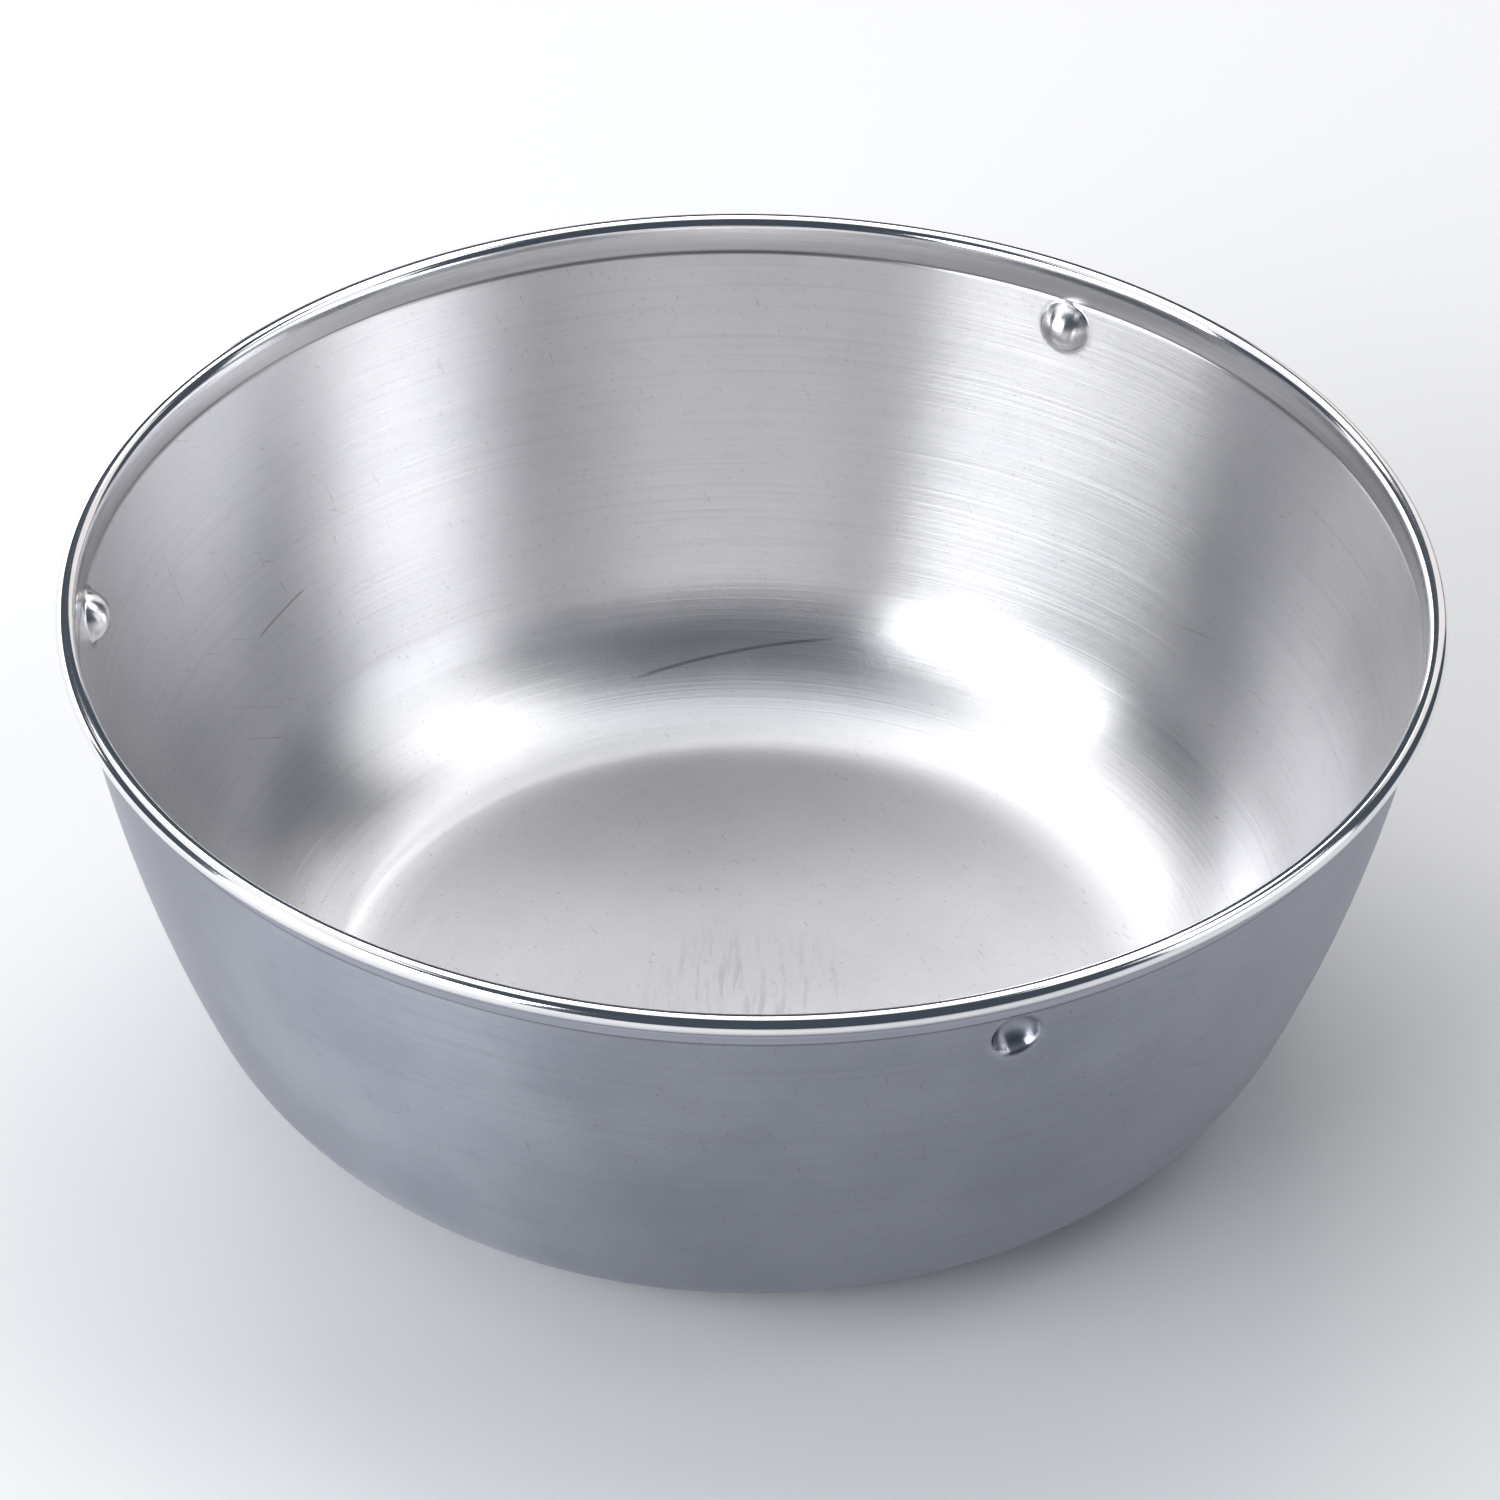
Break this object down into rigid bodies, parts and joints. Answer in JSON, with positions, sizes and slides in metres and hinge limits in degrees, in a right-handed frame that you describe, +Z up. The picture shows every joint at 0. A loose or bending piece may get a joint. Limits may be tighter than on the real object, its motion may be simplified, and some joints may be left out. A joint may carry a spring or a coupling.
{
  "type": "open stainless steel brewing vessel",
  "caption": "Wide open stainless steel basin with a flat floor, leaning wall, rolled rim and small stops pressed inward below the rim.",
  "frame": {"origin": "centre of the flat face that the vessel stands on", "axes": "+Z up along the vessel's axis; the stops are at 60, 178.3 and 292 degrees about +Z from +X"},
  "size_m": [0.3, 0.3, 0.115],
  "materials": {
    "satin_steel": "satin, fine brushing around the vessel",
    "polished_steel": "mirror polished",
    "wire_steel": "plain drawn wire"
  },
  "bodies": {
    "root": {"bowl_shell": "satin_steel", "rim_band": "polished_steel", "rim_wire": "wire_steel"}
  },
  "joints": []
}
